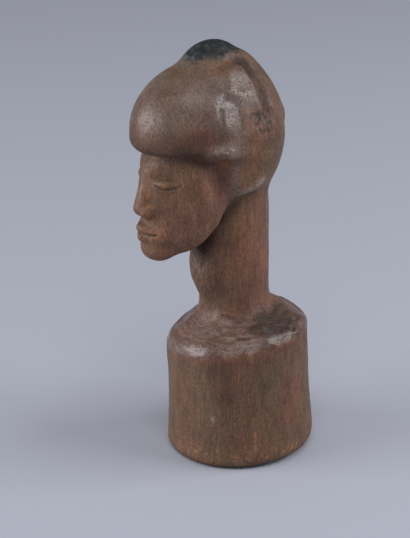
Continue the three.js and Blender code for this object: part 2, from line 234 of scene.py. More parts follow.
def eyes(block, p):
    along, outward, up = eye_place(p)
    e = np.stack([along, outward, up], -1)
    block = carve(block, ellipsoid(e, (-0.4, 1.7, 1.2), (5.6, 2.2, 3.2)), 1.6)
    block = join(block, ellipsoid(e, (0, -1.5, -0.2), (3.9, 2.4, 2.3)), 0.7)
    lash = np.hypot(up + 1 - 0.05 * along ** 2, outward - 0.75) - 0.42
    return carve(block, meet(lash, np.abs(along) - 3.3, 0.4), 0.35)


def nose(block, p):
    slim = np.stack([p[:, 0] / 1.15, p[:, 1], p[:, 2]], -1)
    top, tip = (0, FACE_FRONT_Y + 1.2, BROW_Z), (0, FACE_FRONT_Y - 0.9, NOSE_Z + 2.4)
    bridge = capsule(slim, top, tip, 1.35, 2.2)
    wing = ellipsoid(mirrored(p), (2.2, FACE_FRONT_Y + 0.1, NOSE_Z + 1.5), (1.7, 2.2, 1.8))
    underside = plane(p, (0, -0.2, -1), (0, FACE_FRONT_Y - 1.6, NOSE_Z))
    return join(block, meet(join(bridge, wing, 1.2), underside, 0.8), 1.5)


def mouth(block, p):
    q = mirrored(p)
    middle_y, corner_y = FACE_FRONT_Y - 1, FACE_FRONT_Y + 2
    block = join(block, ellipsoid(p, (0, FACE_FRONT_Y + 5.6, MOUTH_Z - 0.4), (7.2, 7, 5)), 3)
    upper = capsule(q, (0.9, middle_y, MOUTH_Z + 1.2), (5.2, corner_y, MOUTH_Z + 0.4), 1.15, 0.45)
    lower = capsule(q, (0, middle_y, MOUTH_Z - 1.3), (4.6, corner_y, MOUTH_Z - 0.7), 1.25, 0.45)
    block = join(join(block, upper, 1), lower, 1)
    line = np.abs(p[:, 2] - MOUTH_Z - 0.012 * p[:, 0] ** 2) - 0.12
    line = meet(meet(line, q[:, 0] - 5.4, 0.6), p[:, 1] - corner_y - 0.3, 0.5)
    return carve(block, meet(line, -block - 0.85, 0.3), 0.6)


def face(p):
    chin = ellipsoid(p, (0, FACE_FRONT_Y + 4, CHIN_Z + 3.9), (5.4, 4.6, 3.5))
    return join(mouth(nose(eyes(face_block(p), p), p), p), chin, 2.2)


def bust(p):
    head = join(hair(p), face(p), 1.8)
    return join(join(base(p), neck(p), 2.2), head, 3)


# The mesh over the field: one point in each grid cell that the surface crosses
CELL = 0.46
COARSE = 4
LOW = np.array((-23.1, -35.3, -1.3), np.float32)
HIGH = np.array((23.1, 23.1, 122.9), np.float32)


def grid_field():
    """The field at the grid's corners: exact near the surface, elsewhere only its sign."""
    blocks = np.ceil((HIGH - LOW) / (CELL * COARSE)).astype(int)
    steps = np.stack(np.meshgrid(*map(np.arange, blocks), indexing="ij"), -1).reshape(-1, 3)
    rough = bust((LOW + (steps + 0.5) * CELL * COARSE).astype(np.float32))
    values = np.repeat(np.sign(rough), COARSE ** 3).reshape(*blocks, COARSE, COARSE, COARSE)
    near = np.flatnonzero(np.abs(rough) < CELL * COARSE * 1.5)
    fine = np.stack(np.meshgrid(*[np.arange(COARSE)] * 3, indexing="ij"), -1).reshape(-1, 3)
    points = LOW + (steps[near, None] * COARSE + fine[None]).reshape(-1, 3) * CELL
    exact = bust(points.astype(np.float32))
    values.reshape(-1, COARSE ** 3)[near] = exact.reshape(-1, COARSE ** 3)
    return values.transpose(0, 3, 1, 4, 2, 5).reshape(blocks * COARSE)


def cell_points(values, active):
    """In each active cell, the mean of the places where its edges cross the surface."""
    total = np.zeros((len(active), 3))
    crossings = np.zeros(len(active))
    for axis in range(3):
        step = np.eye(3, dtype=int)[axis]
        sides = [np.eye(3, dtype=int)[i] for i in range(3) if i != axis]
        for corner in (0 * step, sides[0], sides[1], sides[0] + sides[1]):
            start = values[tuple((active + corner).T)]
            end = values[tuple((active + corner + step).T)]
            crossed = (start < 0) != (end < 0)
            share = np.where(crossed, start / np.where(crossed, start - end, 1), 0)
            total += crossed[:, None] * (corner + share[:, None] * step)
            crossings += crossed
    return active + total / crossings[:, None]


def surface_net(values):
    """(points in millimetres, quads facing out)"""
    inside = values < 0
    counts = sum(
        inside[i:i - 1 or None, j:j - 1 or None, k:k - 1 or None].astype(np.int8)
        for i in (0, 1) for j in (0, 1) for k in (0, 1)
    )
    active = np.argwhere((counts > 0) & (counts < 8))
    number = np.full(counts.shape, -1)
    number[tuple(active.T)] = np.arange(len(active))
    points = LOW + cell_points(values, active) * CELL
    quads = []
    for axis in range(3):
        _, u, v = np.roll(np.eye(3, dtype=int), -axis, axis=0)
        changed = np.diff(inside.astype(np.int8), axis=axis)
        for sign in (1, -1):
            edges = np.argwhere(changed == sign)
            ring = [number[tuple((edges - o).T)] for o in (u + v, v, 0 * u, u)]
            quads.append(np.stack(ring[::-sign], -1))
    return points, np.concatenate(quads)


PROBE, WIDE_PROBE = 0.05, 0.12
LEAST_SLOPE = 0.25


def slope(p, probe):
    shifts = np.eye(3, dtype=np.float32) * probe
    return np.stack([bust(p + s) - bust(p - s) for s in shifts], -1) / (2 * probe)


def settled(p, times):
    """The points drawn onto the surface, and the surface's outward directions there."""
    for _ in range(times):
        gradient = slope(p, PROBE)
        p = p - gradient * (bust(p) / np.maximum((gradient ** 2).sum(-1), LEAST_SLOPE))[:, None]
    gradient = slope(p, WIDE_PROBE)
    return p, gradient / np.linalg.norm(gradient, axis=-1, keepdims=True)


# The knife's work and the wear. Each function gives how far the points move outward, in millimetres.
FACET_LIMIT = 0.4
STREAK_TURNS = 5
AXIS_GAP = 1e-3


def noise_at(points, size):
    """Smooth noise between -1 and 1; size is the width of its features, in millimetres."""
    scaled = points / np.array(size) + SEED
    return np.array([noise.noise(row) for row in scaled.tolist()])


def ring_place(points, turns):
    """(distance from the upright axis, place on a ring of radius turns)"""
    radius = np.hypot(points[:, 0], points[:, 1]) + AXIS_GAP
    return radius, points[:, :2] / radius[:, None] * turns


def ring_streaks(points, size, shift=0):
    """Noise drawn out round the middle of the base, as the knife went; size is the streaks' width."""
    radius, around = ring_place(points, STREAK_TURNS)
    return noise_at(np.column_stack([radius + shift, around]), size)


def fade(points, centre, radii):
    """1 at the centre, falling off smoothly to 0 at about twice the radii."""
    return np.exp(-((points - np.array(centre)) ** 2 / np.array(radii) ** 2).sum(-1))


def spots(points, table):
    """The sum of the table's soft spots; each row is a strength, a centre and radii."""
    return sum(strength * fade(points, centre, radii) for strength, centre, radii in table.values())


def band(value, middle, width):
    """1 where the value is at the middle, falling off smoothly on both sides."""
    return np.exp(-((value - middle) / width) ** 2)


def noise_step(points, size, low, high):
    """Noise of the given size, spread from 0 to 1 between low and high."""
    return smoothstep(noise_at(points, size), low, high)


def near_line(points, start, end, width):
    """1 on the line from start to end, falling off smoothly to 0 at about twice the width."""
    return np.exp(-np.maximum(capsule(points, start, end, 0, 0), 0) ** 2 / width ** 2)


def near_path(points, path, width):
    """The same for a path that bends at each of its places."""
    return np.max([near_line(points, a, b, width) for a, b in zip(path, path[1:])], axis=0)


def facets(points, normals, width, height, pull):
    """Flats left by a knife: each point is pulled toward the plane of the nearest seed."""
    squeezed = points / (width, width, height)
    order = np.random.default_rng(SEED).permutation(len(points))
    _, first = np.unique(np.floor(squeezed[order]), axis=0, return_index=True)
    seeds = order[first]
    tree = KDTree(len(seeds))
    for i, seed in enumerate(squeezed[seeds].tolist()):
        tree.insert(seed, i)
    tree.balance()
    nearest = seeds[[tree.find(point)[1] for point in squeezed.tolist()]]
    gap = ((points[nearest] - points) * normals[nearest]).sum(-1)
    facing = (normals * normals[nearest]).sum(-1)
    return pull * np.clip(gap, -FACET_LIMIT, FACET_LIMIT) * smoothstep(facing, 0.3, 0.8)


def above_rim(points):
    """Each point's height above the plane of the shoulder's tilted rim."""
    return points[:, 2] - RIM_Z - TILT_X * points[:, 0] - TILT_Y * points[:, 1]


def zones(points):
    """How far each point belongs to the base's side, the shoulder, the neck, the hair and the face."""
    _, y, z = points.T
    side = 1 - smoothstep(above_rim(points), -2.5, -0.5)
    shoulder_top = (1 - side) * (1 - smoothstep(z, NECK_FOOT_Z - 1, NECK_FOOT_Z + 2))
    front = smoothstep(-y, 13.5, 15.5)
    head = np.maximum(smoothstep(z, NAPE_Z - 1, NAPE_Z + 1), front * smoothstep(z, CHIN_Z - 4, CHIN_Z - 2))
    visage = head * smoothstep(-y, 9.5, 12) * (1 - smoothstep(z, HAIRLINE_Z - 1, HAIRLINE_Z + 0.5))
    column = (1 - head) * smoothstep(z, NECK_FOOT_Z - 1, NECK_FOOT_Z + 2)
    return {"side": side, "top": shoulder_top, "column": column, "locks": head - visage, "visage": visage}


# The flats that the knife left on each part: width, height and strength
CUTS = {
    "side": (3.6, 19, 0.25), "top": (5.2, 5.2, 0.7), "column": (3.2, 16, 0.3),
    "locks": (7.5, 7.5, 0.35), "visage": (4.5, 4.5, 0.25),
}
WAVE_PITCH, WAVE_HEIGHT = 1.7, 0.08
FINE_RUBS, BROAD_RUBS = 2, 20
FIBRE_RELIEF = {"side": 0.045, "top": 0.02, "column": 0.045, "locks": 0.015, "visage": 0.012}


def knife_work(points, normals, quads):
    zone = zones(points)
    cuts = {part: zone[part] * facets(points, normals, *cut) for part, cut in CUTS.items()}
    radius = np.hypot(points[:, 0], points[:, 1])
    waves = np.sin(2 * math.pi * (radius + 1.6 * noise_at(points, 4)) / WAVE_PITCH)
    waves *= WAVE_HEIGHT * zone["top"] * noise_step(points, (4, 4, 2.5), -0.1, 0.3)
    fine = cuts["side"] + cuts["column"] + smoothstep(radius, 12.5, 15) * (cuts["top"] + waves)
    broad = cuts["locks"] + cuts["visage"]
    hands = (0.13 - 0.08 * zone["visage"]) * noise_at(points, 7)
    return rubbed(fine, quads, FINE_RUBS) + rubbed(broad, quads, BROAD_RUBS) + hands


def rubbed(amounts, quads, times):
    """Evened out from point to point over the mesh, as handling wears down the ridges of the cuts."""
    start = quads.ravel()
    end = np.roll(quads, -1, axis=1).ravel()
    count = np.bincount(start, minlength=len(amounts))
    for _ in range(times):
        amounts = (amounts + np.bincount(start, amounts[end], len(amounts)) / count) / 2
    return amounts


def grain_relief(points):
    zone = zones(points)
    fibres = noise_at(points, (1.3, 1.3, 24)) + 0.6 * noise_at(points, (2.4, 2.4, 40))
    strength = sum(relief * zone[part] for part, relief in FIBRE_RELIEF.items())
    return strength * fibres + 0.02 * noise_at(points, 1.4) * (1 - 0.5 * zone["visage"])


# Marks left by the knife and by use, and places of painted shade and reflections, each at its own place
LOBE_CRACK = ((13.6, -13.9, 106.4), (15.2, -14.5, 102.5))
SCRATCH = ((19.1, -6.9, 16), (19.9, -6.6, 4.9))
LIP = (16.6, -14, 95.6)
RED_HOLLOW, HOLLOW_RADII = (14.2, -20.6, 100), (3, 3.6, 2.8)
BEHIND_LOBE = (15, -3, 103)
# Painted reflection: a grey band across the ear lobe, between its two highlights.
LOBE_REFLECTION_BAND = ((12.3, -13, 108.5), (13.1, -5.6, 106.9))
JAW_CREASE = ((14.2, -1.5, 84.8), (12.6, -7.2, 81.6))
NECK_EDGE = ((1.6, -12.9, 42), (8.8, -7.1, 46.2), (9.3, 1.4, 48))
CHAFED_RIM = ((15, -13.2, 35), (19.6, 0, 36))
# Soft-edged patches: the centre and radii
ROUGH_THROAT = (0.6, -15.0, 58.6), (5.5, 4, 4.6)
CHAFED_SIDE = (18, -6, 36), (1.6, 2, 1.4)
SCUFFED_SHOULDER = (12.2, -9.4, 40), (7, 7, 4)
# Painted reflection: the grey sheen on the lower fringe of the crest's stain.
STAIN_FRINGE_SHEEN = (0.3, -16.8, 117.2), (4.2, 3.6, 2.4)
# The heights between which the crest's stain sets in
STAIN_STARTS_Z, STAIN_FULL_Z = 117.2, 119.0
# Flats knocked into the rim: the middle, the way it faces and the depth
RIM_FLATS = (
    ((19.2, 0.8, 39), (0.824, 0.13, 0.543), 0.32),
    ((6.5, -19, 36), (0.323, -0.87, 0.374), 0.2),
)
# Runs of strokes: start, end, spread, pitch and depth
STROKES = {
    "shoulder": ((12, -12.5, 37.6), (17.5, -4, 39.0), 2.0, 1.4, 0.16),
    "under the jaw": ((6, -16.4, 66.5), (10.4, -7.5, 77.5), 2.0, 1.3, 0.05),
    "throat": ((-2.5, -15, 63), (3.5, -14.5, 54), 3.2, 1.7, 0.14),
}
DENTS = {
    "pit in the shoulder": (0.9, (16.1, 7.2, 39.4), (0.6, 0.6, 0.6)),
    "dent beside the crest": (0.35, (4.9, -5.0, 116.6), (1.5, 2.2, 1.2)),
}
CRACK_DEPTH, SCRATCH_DEPTH = 0.3, 0.16
LID_CUT, LID_RISE = 0.5, 0.35


def strokes(points, start, end, spread, pitch, depth):
    """Parallel knife strokes that run from start to end, side by side across the surface."""
    along = np.array(end) - np.array(start)
    along = along / np.linalg.norm(along)
    offset = points - np.array(start)
    across = offset - (offset @ along)[:, None] * along
    phase = across[:, 2] * 1.6 + np.hypot(across[:, 0], across[:, 1])
    phase = phase + 0.5 * noise_at(points, 3.5)
    return depth * np.sin(2 * math.pi * phase / pitch) * near_line(points, start, end, spread)


def chips(points):
    """Bites out of the shoulder's rim and the lower edge, where the drum's corners were knocked."""
    bites = noise_step(points, (2.4, 2.4, 1.7), 0.12, 0.45)
    return -bites * (0.13 * band(above_rim(points), -0.4, 1.0) + 0.22 * band(points[:, 2], 2.2, 1.6))


def lid_lines(points):
    """The knife lines of the closed lids: under the lashes, and in the fold above."""
    along, outward, up = eye_place(points)
    lash = band(up, 0.06 * along ** 2 - 1.1, 0.36)
    fold = band(up, 1.9 - 0.08 * along ** 2, 0.42)
    ends = 1 - smoothstep(np.abs(along), 2.8, 3.8)
    return (lash + 0.6 * fold) * ends * smoothstep(outward, -3, -1)


def lid_swelling(points):
    along, outward, up = eye_place(points)
    return band(along, 0, 3) * band(up, 0.3, 1.3) * smoothstep(outward, -3, -1)


def knocked_flat(points, centre, facing, depth):
    """A small flat where the rim was pressed in, square to the way it faces."""
    facing = np.array(facing) / np.linalg.norm(facing)
    around = fade(points, centre, (7, 7, 4))
    height = points @ facing
    level = height[around > 0.5].max() - depth
    return -np.clip(height - level, 0, None) * smoothstep(around, 0.1, 0.4)


def wear_marks(points):
    cut = chips(points) - LID_CUT * lid_lines(points) + LID_RISE * lid_swelling(points)
    cut += sum(knocked_flat(points, *flat) for flat in RIM_FLATS)
    cut += sum(strokes(points, *run) for run in STROKES.values())
    cut -= CRACK_DEPTH * near_line(points, *LOBE_CRACK, 0.35)
    cut -= SCRATCH_DEPTH * near_line(points, *SCRATCH, 0.3)
    cut -= spots(points, DENTS)
    cut += 0.3 * fade(points, LIP, (2, 4, 1.5)) * noise_at(points, (1.4, 1.4, 0.9))
    throat = fade(points, *ROUGH_THROAT)
    bites = noise_step(points, (1.6, 1.6, 2.2), 0.0, 0.22)
    return cut - throat * (0.5 * bites + 0.15 * noise_at(points, 1.3))


def carved_points():
    points, quads = surface_net(grid_field())
    points, normals = settled(points.astype(np.float32), 2)
    moved = knife_work(points, normals, quads) + grain_relief(points) + wear_marks(points)
    standing = smoothstep(points[:, 2], 0.3, 2.5)
    return points + normals * (moved * standing)[:, None], normals, quads


# Where the finish differs, and where light and shade are painted into it, as numbers between 0 and 1
# at each point of the mesh. In each table a row is a strength, a centre and radii.
# Patches of dirt and of painted shade; the one under the ear is painted shade in the recess.
DIRT_AND_SHADE_SPOTS = {
    "throat": (0.7, (1.5, -13.5, 63.5), (6, 6, 5)),
    "front of the neck": (0.48, (5.5, -11, 50.5), (7, 6, 7)),
    "back of the shoulder": (1, (13.5, 3.5, 41), (7, 9, 5)),
    "its darkest part": (0.6, (14.5, -1.5, 41), (4, 4, 3)),
    "front of the shoulder": (0.4, (9, -14.8, 38), (2.6, 2.6, 1.5)),
    "far side of the shoulder": (0.7, (-12, 2, 41), (7, 8, 5)),
    "side of the base": (0.38, (15.1, -14.0, 22), (4.4, 4.4, 16)),
    "back of the base": (0.19, (-14, 14, 20), (5, 5, 16)),
    "under the rim": (0.25, (12.5, -16.5, 31.5), (4, 4, 3.5)),
    # Painted shade: the recess under the ear, darkened where shade falls.
    "under the ear": (0.18, (11.2, -13.4, 88), (3, 3.2, 7)),
    "corner of the jaw": (0.144, (11, -8, 80), (2.5, 3, 2)),
    "red hollow": (0.35, RED_HOLLOW, HOLLOW_RADII),
    "front of the hair": (0.3, (9, -28, 98), (8, 5, 3)),
    "beside the crest": (0.3, (8, -3.5, 116), (3.5, 2.5, 2.5)),
    "head of the groove": (0.2, (6.6, 2.6, 112), (4, 4, 5)),
    "blotch on the lobe": (0.5, (13.6, -11.8, 106), (0.9, 0.9, 0.9)),
    "dent beside the crest": (0.5, (4.9, -4.4, 116.4), (1.6, 2.6, 1.3)),
}
# Painted light: paler patches on the shadowed side of the neck, behind the jaw and under the lobe.
PAINTED_LIGHT_PATCHES = {
    "neck": (0.36, (9.3, -6, 68), (4, 5, 8)),
    "behind the jaw": (0.36, (15.2, -6, 90), (4, 4, 8)),
    "under the lobe": (0.2, (16.9, -7.2, 98), (3, 4, 5)),
}
REDDER = {
    "red hollow": (1.1, RED_HOLLOW, (3.5, 4.2, 3.4)),
    "under the lobe": (0.7, (16.6, -6.5, 96), (4, 4, 7)),
    "under the ear": (0.7, (11.5, -13.5, 87), (3.5, 4.5, 7)),
    "neck": (0.8, (9, -1, 62), (5, 7, 20)),
    "back of the base": (0.5, (18.2, 7.5, 22), (3, 4, 14)),
    "side of the base": (0.35, (17.8, -9.5, 18), (2, 2, 17)),
    "foot of the groove": (0.8, (14.5, 0.4, 101.8), (4, 4, 6)),
    "beside the crest": (0.6, (5, -4, 116.4), (3, 3, 2.5)),
    "front of the hair": (0.5, (9, -28, 98), (8, 5, 3)),
    "behind the lobe": (0.5, BEHIND_LOBE, (4, 5, 4.5)),
}
SHINY = {
    "lip": (1, LIP, (2.5, 4.5, 1.8)),
    "lobe": (0.2, (13.8, -11.8, 104.5), (3, 3, 4)),
}
PALE_SPOTS_AND_HIGHLIGHTS = {
    "fleck on the base": (0.5, (12.5, -16.4, 15.2), (0.6, 0.6, 0.8)),
    # Painted highlights on the rim, at its side and at its front.
    "side of the rim": (0.35, (18.9, -0.3, 39.1), (1.2, 2.6, 0.8)),
    "front of the rim": (0.18, (6.5, -18.8, 36.2), (3, 1.2, 0.8)),
}
ROUGH_PALE_SPOTS_AND_HIGHLIGHTS = {
    "crest": (0.3, (4.1, -7.2, 117.9), (0.9, 1.0, 0.7)),
    "throat": (0.3, (0.7, -15, 59), (3.2, 2, 4)),
    # Painted highlight on the lip over the ear.
    "lip": (0.3, (16.4, -14.5, 95.8), (1.8, 3.5, 1.2)),
}


def hollowness(points, normals, reach):
    """0 on open surfaces, 1 where the wood curves up around the point."""
    return 1 - np.clip(bust(points + normals * reach) / reach, 0, 1)


def sharpness(points, normals, reach):
    """0 on flats and in hollows, 1 on narrow edges."""
    return 1 - np.clip(-bust(points - normals * reach) / reach, 0, 1)


# Dirt and painted shade: darker in hollows, creases and the groove, under the front of the hair, on the
# side behind the lobe, in the lid lines and along the foot.
def dirt_and_shade(points, normals):
    zone = zones(points)
    _, y, z = points.T
    # Painted shade in narrow and broad hollows.
    deep = smoothstep(hollowness(points, normals, 2.2), 0.12, 0.6)
    wide = smoothstep(hollowness(points, normals, 7), 0.2, 0.8)
    # Painted shade and dirt along the groove.
    groove = near_path(mirrored(points), GROOVE_LINE, 1.4)
    # Painted shade on the side behind the lobe, which turns away from the light.
    behind = smoothstep(y, -9, -3) * fade(points, BEHIND_LOBE, (6, 5, 4.5))
    behind *= 0.45 + noise_step(points, (1.1, 1.1, 1.5), -0.05, 0.25)
    # Painted shade under the front edge of the hair, where the dome turns under.
    under = zone["locks"] * smoothstep(-y, 12, 18) * (1 - smoothstep(z, HAIRLINE_Z, HAIRLINE_Z + 9))
    total = 0.55 * deep * (1 - 0.5 * zone["visage"]) + 0.15 * wide + 0.65 * groove + 0.6 * under
    # Painted shade in the lid lines.
    total += 0.9 * near_line(points, *LOBE_CRACK, 0.4) + 0.85 * behind + 0.6 * lid_lines(points)
    # The last band is grime and painted contact shade along the foot.
    total += 0.08 * zone["locks"] + 0.12 * zone["side"] * smoothstep(z, 20, 31) + 0.9 * band(z, 0, 1.5)
    total += 0.26 * zone["top"] * smoothstep(ring_streaks(points, 1.3), 0.0, 0.4)
    return total + spots(points, DIRT_AND_SHADE_SPOTS) + 0.22 * noise_at(points, 5)


def worn_rim(points):
    """The ragged band of bare fibres just below the rim, on the side that was handled."""
    patchy = 0.35 + 0.65 * noise_step(points, (2.4, 2.4, 1.6), -0.2, 0.25)
    toward = smoothstep(points[:, 0], 7, 11) * patchy
    return toward * band(above_rim(points) + 1.1 * noise_at(points, 4), -1.4, 0.9)


# Wear, and painted light in paler patches on the shadowed side of the neck and jaw.
def worn_and_painted_light(points, normals):
    zone = zones(points)
    edge = smoothstep(sharpness(points, normals, 1.6), 0.15, 0.5)
    edge *= 1 - smoothstep(1.6 - np.abs(above_rim(points) - 0.4), 0, 1)
    patch = near_line(points, *CHAFED_RIM, 1.5) + fade(points, *CHAFED_SIDE)
    neck_foot = near_path(points, NECK_EDGE, 0.9)
    scattered = smoothstep(noise_at(points, (1.6, 1.6, 2.6)) + 0.5 * noise_at(points, 4), 0.0, 0.4)
    crumbs = smoothstep(noise_at(points, (0.6, 0.6, 1.0)) + 0.5 * noise_at(points, 3), 0.16, 0.4)
    scratch = near_line(points, *SCRATCH, 0.4) * noise_step(points, 1.5, -0.3, 0.2)
    total = (edge * (0.3 + 0.35 * zone["visage"]) + 0.3 * patch) * (0.25 + 0.75 * scattered)
    total += 0.65 * band(points[:, 2], 3.8, 2.8) * zone["side"] * crumbs
    total += 0.7 * neck_foot * noise_step(points, 0.7, -0.15, 0.3)
    return total + 0.5 * worn_rim(points) + 0.7 * scratch + spots(points, PAINTED_LIGHT_PATCHES)


def reddened(points):
    zone = zones(points)
    total = spots(points, REDDER) + 0.4 * zone["visage"] + 0.45 * zone["top"]
    total += 0.7 * smoothstep(points[:, 0], 5, 10) * band(above_rim(points), -2.2, 1.8)
    return total + 0.3 * noise_step(points, (9, 9, 16), 0.0, 0.5)


def stained(points):
    height = points[:, 2] + 0.8 * noise_at(points, 3) + 0.7 * noise_at(points, 1.1)
    return smoothstep(height, STAIN_STARTS_Z, STAIN_FULL_Z)


def polished(points):
    """1 where handling left a shine: the front of the hair and the shoulder, not behind the groove."""
    zone = zones(points)
    x, y, z = points.T
    lower = smoothstep(y, -9.5, -7) * (1 - smoothstep(z, 106.3, 108.3))
    behind = np.maximum(lower, smoothstep(y, -3, -1.5))
    crest_top = smoothstep(z, 113, 115.5)
    low = smoothstep(-y, 12, 18) * (1 - smoothstep(z, 99, 103))
    dome = (1 - 0.3 * smoothstep(-y, 18, 22)) * (1 - 0.85 * low)
    dome *= 1 - fade(points, RED_HOLLOW, HOLLOW_RADII)
    shine = zone["locks"] * dome * (1 - 0.9 * behind) * (1 - crest_top) + spots(points, SHINY)
    away = smoothstep(np.hypot(x, y), 11.5, 14)
    brushed = 0.55 * zone["top"] * away * (1 + ring_streaks(points, 1.2, 90))
    return shine * (0.8 + 0.22 * noise_at(points, 2.2)) + brushed + band(above_rim(points), 0.4, 0.85)


# Pale marks, and painted highlights on the rim and the lip.
def pale_and_highlighted(points):
    rough = noise_step(points, (1.2, 1.2, 1.8), -0.1, 0.3)
    crease = near_line(points, *JAW_CREASE, 1.1)
    streaks = smoothstep(ring_streaks(points, 1.1, 50), -0.05, 0.3)
    scuffed = zones(points)["top"] * fade(points, *SCUFFED_SHOULDER) * streaks
    return spots(points, PALE_SPOTS_AND_HIGHLIGHTS) + spots(points, ROUGH_PALE_SPOTS_AND_HIGHLIGHTS) * rough + 0.6 * crease + 0.42 * scuffed


def painted_grey_sheen(points):
    """Painted grey sheen: a painted reflection on the streaky fringe of the stain, painted glints in
    flecks on it, and a painted reflection in a band across the ear lobe.
    """
    streaks = smoothstep(noise_at(points, (1.0, 2.4, 1.0)) + 0.4 * noise_at(points, 4), -0.4, 0.4)
    fringe = fade(points, *STAIN_FRINGE_SHEEN) * streaks
    # Painted glints: grey flecks on the stain.
    flecks = smoothstep(points[:, 2], 117, 118.5) * noise_step(points, (0.9, 1.4, 0.9), 0.05, 0.4)
    across_lobe = near_line(points, *LOBE_REFLECTION_BAND, 1.3)
    return 0.9 * fringe + 0.22 * flecks + 0.3 * across_lobe


STROKE_WIDTH, STROKE_TURNS = 0.34, 4.0


def add_masks(piece, points, normals):
    masks = {
        "dirt_and_shade": dirt_and_shade(points, normals), "worn_and_painted_light": worn_and_painted_light(points, normals), "reddened": reddened(points),
        "stained": stained(points), "pale_and_highlighted": pale_and_highlighted(points), "polished": polished(points),
        "painted_grey_sheen": painted_grey_sheen(points),
        "cut_across": zones(points)["top"] * noise_step(points, (5, 5, 3), -0.6, 0.1),
    }
    for name, values in masks.items():
        layer = piece.data.attributes.new(name, "FLOAT", "POINT")
        layer.data.foreach_set("value", np.clip(values, 0, 1).astype(np.float32))
    radius, around = ring_place(points, STROKE_TURNS)
    lanes = (radius + 0.5 * noise_at(points, 4)) / STROKE_WIDTH
    layer = piece.data.attributes.new("strokes", "FLOAT_VECTOR", "POINT")
    layer.data.foreach_set("vector", np.column_stack([lanes, around]).astype(np.float32).ravel())


def mesh_object(name, points, quads):
    mesh = bpy.data.meshes.new(name)
    mesh.vertices.add(len(points))
    mesh.vertices.foreach_set("co", (points * MM).astype(np.float32).ravel())
    mesh.loops.add(quads.size)
    mesh.loops.foreach_set("vertex_index", quads.astype(np.int32).ravel())
    mesh.polygons.add(len(quads))
    mesh.polygons.foreach_set("loop_start", np.arange(0, quads.size, 4, dtype=np.int32))
    mesh.polygons.foreach_set("use_smooth", np.ones(len(quads), bool))
    mesh.update(calc_edges=True)
    piece = bpy.data.objects.new(name, mesh)
    bpy.context.collection.objects.link(piece)
    return piece


# The finish: dark oiled wood, darker in the hollows with dirt and painted shade, redder and paler
# where hands wore it, with painted light, sheen and highlights in places
def feed(tree, socket, value):
    """Joins the socket to another node's output, or sets its own number or colour."""
    if isinstance(value, bpy.types.NodeSocket):
        tree.links.new(value, socket)
    else:
        socket.default_value = value


def node(tree, kind, settings=None, **inputs):
    made = tree.nodes.new("ShaderNode" + kind)
    for key, value in (settings or {}).items():
        setattr(made, key, value)
    for name, value in inputs.items():
        feed(tree, made.inputs[name.replace("_", " ")], value)
    return made


def blend(tree, factor, first, second, mode="MIX"):
    made = node(tree, "Mix", {"data_type": "RGBA", "blend_type": mode})
    for socket, value in zip((made.inputs[0], made.inputs[6], made.inputs[7]), (factor, first, second)):
        feed(tree, socket, value)
    return made.outputs[2]


def math_node(tree, operation, first, second):
    made = node(tree, "Math", {"operation": operation})
    feed(tree, made.inputs[0], first)
    feed(tree, made.inputs[1], second)
    return made.outputs[0]


def mask(tree, name):
    return node(tree, "Attribute", {"attribute_name": name}).outputs["Fac"]


def pattern(tree, size, detail, low, high):
    """Noise of the given size in millimetres, spread from 0 to 1 between low and high."""
    here = node(tree, "TexCoord").outputs["Object"]
    scale = [1 / (MM * side) for side in size]
    stretched = node(tree, "Mapping", Vector=here, Scale=scale).outputs[0]
    grown = node(tree, "TexNoise", Vector=stretched, Scale=1.0, Detail=detail, Roughness=0.6)
    limits = {"From_Min": low, "From_Max": high}
    return node(tree, "MapRange", Value=grown.outputs[0], **limits).outputs[0]


def mottled(tree, colour, share, dark, light):
    """The colour made darker and lighter by a pattern, which runs from the dark to the light factor."""
    return blend(tree, 1.0, colour, blend(tree, share, dark, light), "MULTIPLY")


def open_pits(tree):
    """The mouths of the wood's pores, about half a millimetre wide, from 0 to 1."""
    return pattern(tree, (0.6, 0.6, 0.75), 1, 0.61, 0.69)


def stroke_pattern(tree):
    """Fine knife strokes that run round the shoulder, from 0 to 1."""
    around = node(tree, "Attribute", {"attribute_name": "strokes"}).outputs["Vector"]
    grown = node(tree, "TexNoise", Vector=around, Scale=1.0, Detail=3.0, Roughness=0.65)
    return node(tree, "MapRange", Value=grown.outputs[0], From_Min=0.3, From_Max=0.7).outputs[0]


OLIVE_BROWN = (0.127, 0.078, 0.042, 1)
RED_BROWN = (0.140, 0.066, 0.037, 1)
RED_WEAR = (0.172, 0.068, 0.041, 1)
PALE_FIBRE_AND_LIGHT = (0.300, 0.134, 0.058, 1)
DIRT_AND_SHADE_BROWN = (0.037, 0.017, 0.009, 1)
CREST_BLACK = (0.006, 0.0075, 0.0085, 1)
PAINTED_SHEEN_GREY = (0.160, 0.136, 0.132, 1)
PALE_AND_HIGHLIGHT_TINT = (0.330, 0.255, 0.215, 1)
SHEEN_GREY = (0.105, 0.108, 0.112, 1)
# Factors on the colour, dark and light, for each pattern in the wood
BLOTCH_SHADES = (0.8, 0.78, 0.77, 1), (1.18, 1.2, 1.2, 1)
FIBRE_SHADES = (0.76, 0.74, 0.72, 1), (1.2, 1.2, 1.2, 1)
SPECK_SHADES = (0.76, 0.74, 0.72, 1), (1.18, 1.18, 1.18, 1)
STROKE_SHADES = (0.5, 0.48, 0.48, 1), (1.5, 1.52, 1.56, 1)


def timber_colour(tree, blotches):
    """The wood itself: olive and red-brown, with pale flecks and bare fibres, and pale patches of painted
    light on the shadowed side of the neck and jaw.
    """
    flecks = math_node(tree, "MULTIPLY", pattern(tree, (0.45, 0.45, 1.3), 1, 0.6, 0.72), blotches)
    colour = blend(tree, pattern(tree, (9, 9, 20), 2, 0.35, 0.65), OLIVE_BROWN, RED_BROWN)
    colour = blend(tree, mask(tree, "reddened"), colour, RED_WEAR)
    colour = blend(tree, math_node(tree, "MULTIPLY", flecks, 0.4), colour, PALE_FIBRE_AND_LIGHT)
    return blend(tree, mask(tree, "worn_and_painted_light"), colour, PALE_FIBRE_AND_LIGHT)


